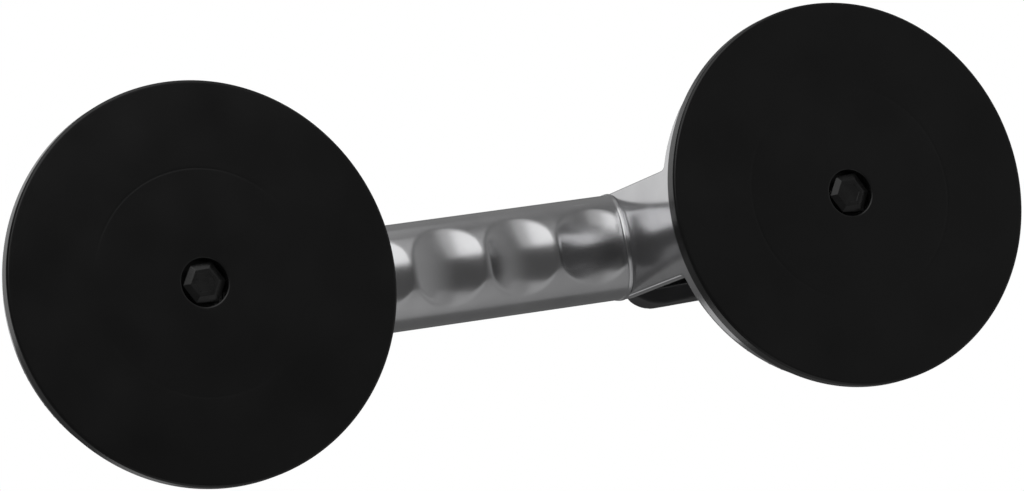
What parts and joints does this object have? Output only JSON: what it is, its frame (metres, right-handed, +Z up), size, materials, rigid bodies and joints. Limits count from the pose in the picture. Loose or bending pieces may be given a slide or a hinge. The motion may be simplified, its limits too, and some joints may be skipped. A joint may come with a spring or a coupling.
{
  "type": "floor tile suction lifter",
  "caption": "Hand lifter for floor tiles: a finger-grooved aluminium grip between two suction heads, each with a flat rubber disc drawn up by a cam lever.",
  "frame": {"origin": "midway between the two discs, on the plane of their suction faces", "axes": "+X along the grip, +Z up from the suction faces to the grip, +Y across the grip"},
  "size_m": [0.334, 0.12, 0.0804],
  "materials": {
    "grip_aluminium": "satin polished casting",
    "cast_aluminium": "satin die casting",
    "disc_rubber": "smooth black rubber",
    "lever_plastic": "fine grained black moulding",
    "plated_steel": "zinc plated",
    "spring_steel": "drawn wire",
    "bush_brass": "turned",
    "black_steel": "black coated"
  },
  "bodies": {
    "frame": {"grip_tube": "grip_aluminium", "head_casting_left": "cast_aluminium", "rubber_disc_left": "disc_rubber", "grip_pin_left": "plated_steel", "guide_bush_left": "bush_brass", "wear_plate_left": "plated_steel", "return_spring_left": "spring_steel", "head_casting_right": "cast_aluminium", "rubber_disc_right": "disc_rubber", "grip_pin_right": "plated_steel", "guide_bush_right": "bush_brass", "wear_plate_right": "plated_steel", "return_spring_right": "spring_steel"},
    "stud_assembly_left": {"draw_stud_left": "plated_steel", "backing_plate_left": "black_steel", "spring_washer_left": "plated_steel", "hex_nut_left": "black_steel"},
    "lever_assembly_left": {"lever_left": "lever_plastic", "cam_pin_left": "plated_steel", "pin_rings_left": "spring_steel"},
    "stud_assembly_right": {"draw_stud_right": "plated_steel", "backing_plate_right": "black_steel", "spring_washer_right": "plated_steel", "hex_nut_right": "black_steel"},
    "lever_assembly_right": {"lever_right": "lever_plastic", "cam_pin_right": "plated_steel", "pin_rings_right": "spring_steel"}
  },
  "joints": [
    {"name": "stud_lift_left", "type": "slide", "parent": "frame", "child": "stud_assembly_left", "axis": [0, 0, 1], "range_m": [0, 0.004], "deforming": ["return_spring_left"]},
    {"name": "lever_swing_left", "type": "hinge", "parent": "stud_assembly_left", "child": "lever_assembly_left", "pos_m": [-0.107, 0, 0.062], "axis": [0, -1, 0], "range_deg": [0, 136]},
    {"name": "stud_lift_right", "type": "slide", "parent": "frame", "child": "stud_assembly_right", "axis": [0, 0, 1], "range_m": [0, 0.004], "deforming": ["return_spring_right"]},
    {"name": "lever_swing_right", "type": "hinge", "parent": "stud_assembly_right", "child": "lever_assembly_right", "pos_m": [0.107, 0, 0.062], "axis": [0, 1, 0], "range_deg": [0, 136]}
  ],
  "couplings": [
    {"joint": "lever_swing_left", "follows": "stud_lift_left", "rad_per_m": 593.41},
    {"joint": "lever_swing_right", "follows": "stud_lift_right", "rad_per_m": 593.41}
  ]
}
